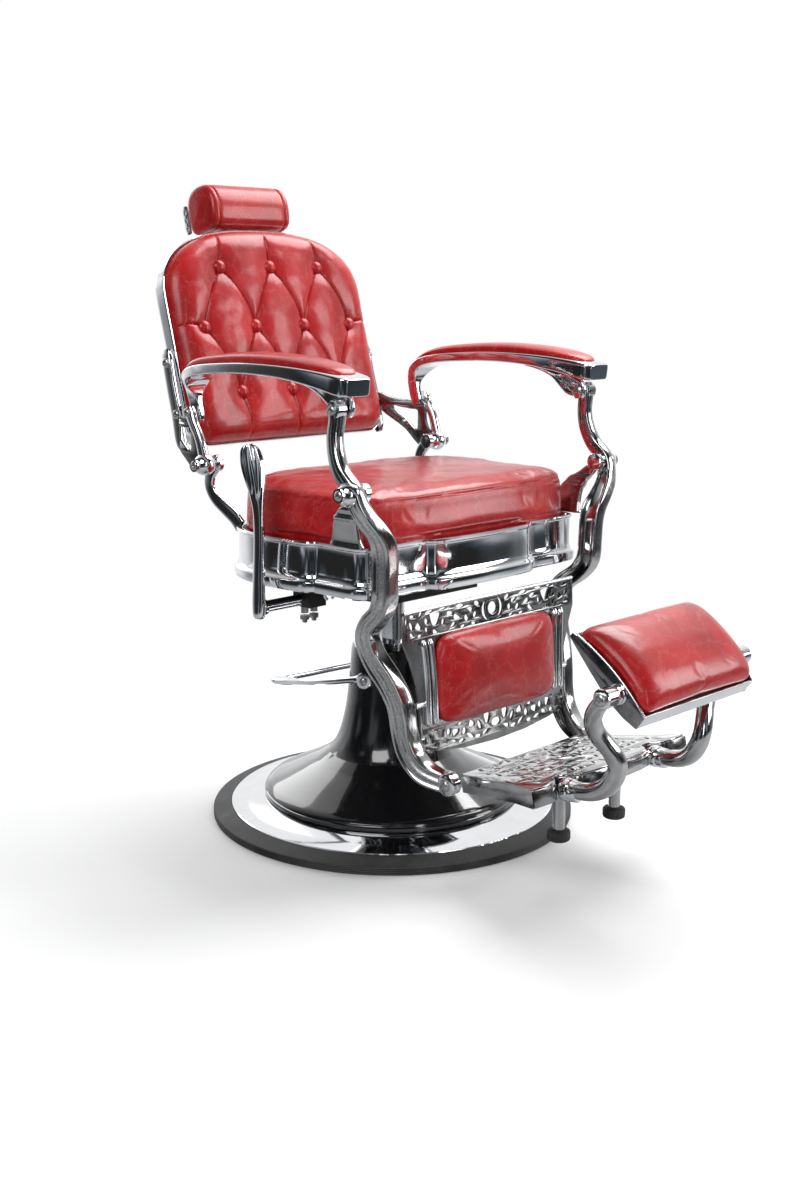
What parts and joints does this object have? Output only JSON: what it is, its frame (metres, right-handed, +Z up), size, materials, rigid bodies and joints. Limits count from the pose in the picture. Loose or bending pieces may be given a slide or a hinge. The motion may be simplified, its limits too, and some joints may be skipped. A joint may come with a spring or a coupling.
{
  "type": "hydraulic barber chair",
  "caption": "Reclining hydraulic barber chair: round base, pump column, bowed chrome seat pan, buttoned back with headrest, padded armrests, swinging leg rest and tilting foot pad.",
  "frame": {"origin": "on the floor at the centre of the round base, under the column axis", "axes": "+Z up along the column axis, -Y the way the sitter faces, +X to the sitter's left"},
  "size_m": [0.718, 1.1936, 1.1998],
  "materials": {
    "chrome": "polished chrome plate",
    "red_leather": "semi-gloss oil-wax leather, mottled",
    "black_gloss": "gloss black paint",
    "black_rubber": "matte ridged rubber",
    "painted_steel": "satin black paint",
    "bearing_steel": "machined steel",
    "board": "plywood"
  },
  "bodies": {
    "base": {"base_plate": "painted_steel", "base_ring": "black_rubber", "chrome_ring": "chrome", "swivel_bearing": "bearing_steel"},
    "column": {"bell_cover": "black_gloss", "pump_cylinder": "bearing_steel", "neck_collar": "chrome", "pump_bushes": "bearing_steel", "pump_bolts": "bearing_steel"},
    "pump_handle": {"pump_shaft": "chrome", "pump_handle": "chrome"},
    "seat": {"piston_rod": "chrome", "seat_mount": "painted_steel", "seat_pan": "chrome", "seat_cushion": "red_leather", "front_bracket_left": "chrome", "front_bracket_right": "chrome", "rear_bracket_left": "chrome", "rear_bracket_right": "chrome", "pivot_pins": "chrome", "lever_bearing": "painted_steel", "bearing_bolts": "bearing_steel"},
    "recline_lever": {"lever_shaft": "chrome", "recline_lever": "chrome"},
    "back": {"back_pad": "red_leather", "back_shell": "chrome", "back_board": "board", "back_buttons": "red_leather", "back_link_left": "chrome", "back_link_right": "chrome", "back_rivets": "chrome", "back_bracket_left": "chrome", "back_bracket_right": "chrome", "rear_rivet_left": "chrome", "rear_rivet_right": "chrome", "headrest_guide": "chrome"},
    "headrest_slide": {"headrest_bar": "chrome"},
    "headrest": {"headrest_pad": "red_leather", "headrest_ears": "chrome", "headrest_pin": "chrome"},
    "armrest_left": {"armrest_tray_left": "chrome", "armrest_pad_left": "red_leather"},
    "armrest_right": {"armrest_tray_right": "chrome", "armrest_pad_right": "red_leather"},
    "leg_rest": {"front_casting_left": "chrome", "front_casting_right": "chrome", "front_rivet_left": "chrome", "front_rivet_right": "chrome", "calf_panel": "chrome", "calf_pad": "red_leather", "panel_studs": "chrome", "footrest_plate": "chrome", "footrest_frame": "chrome", "prop_legs": "chrome", "rubber_feet": "black_rubber", "foot_arm_left": "chrome", "foot_arm_right": "chrome"},
    "foot_pad": {"foot_pad_tray": "chrome", "foot_pad": "red_leather", "foot_pad_pins": "chrome"}
  },
  "joints": [
    {"name": "swivel", "type": "hinge", "parent": "base", "child": "column", "pos_m": [0, 0, 0.1], "axis": [0, 0, 1], "continuous": true},
    {"name": "pump", "type": "hinge", "parent": "column", "child": "pump_handle", "pos_m": [0, 0, 0.281], "axis": [-0.9598, -0.2807, 0], "range_deg": [-14, 0], "stiffness_Nm_per_rad": 20, "springref_deg": 2.86},
    {"name": "lift", "type": "slide", "parent": "column", "child": "seat", "axis": [0, 0, 1], "range_m": [-0.07, 0.09]},
    {"name": "recline", "type": "hinge", "parent": "seat", "child": "back", "pos_m": [0, 0.177, 0.686], "axis": [-1, 0, 0], "range_deg": [0, 35]},
    {"name": "leg_swing", "type": "hinge", "parent": "seat", "child": "leg_rest", "pos_m": [0, -0.242, 0.676], "axis": [-1, 0, 0], "range_deg": [0, 24]},
    {"name": "armrest_left_pivot", "type": "hinge", "parent": "back", "child": "armrest_left", "pos_m": [0.29, 0.214, 0.778], "axis": [-1, 0, 0], "range_deg": [-35, 0]},
    {"name": "armrest_right_pivot", "type": "hinge", "parent": "back", "child": "armrest_right", "pos_m": [-0.29, 0.214, 0.778], "axis": [-1, 0, 0], "range_deg": [-35, 0]},
    {"name": "lever_pull", "type": "hinge", "parent": "seat", "child": "recline_lever", "pos_m": [-0.33, -0.007, 0.453], "axis": [-1, 0, 0], "range_deg": [0, 18], "stiffness_Nm_per_rad": 12, "springref_deg": -2.86},
    {"name": "headrest_height", "type": "slide", "parent": "back", "child": "headrest_slide", "axis": [0, 0.2605, 0.9655], "range_m": [0, 0.07]},
    {"name": "headrest_tilt", "type": "hinge", "parent": "headrest_slide", "child": "headrest", "pos_m": [0, 0.4477, 1.08474], "axis": [-1, 0, 0], "range_deg": [0, 25]},
    {"name": "foot_pad_tilt", "type": "hinge", "parent": "leg_rest", "child": "foot_pad", "pos_m": [0, -0.65, 0.392], "axis": [1, 0, 0], "range_deg": [-60, 20]}
  ],
  "couplings": [
    {"joint": "leg_swing", "follows": "recline", "ratio": 0.654},
    {"joint": "armrest_left_pivot", "follows": "recline", "ratio": -0.9557},
    {"joint": "armrest_right_pivot", "follows": "recline", "ratio": -0.9557}
  ]
}
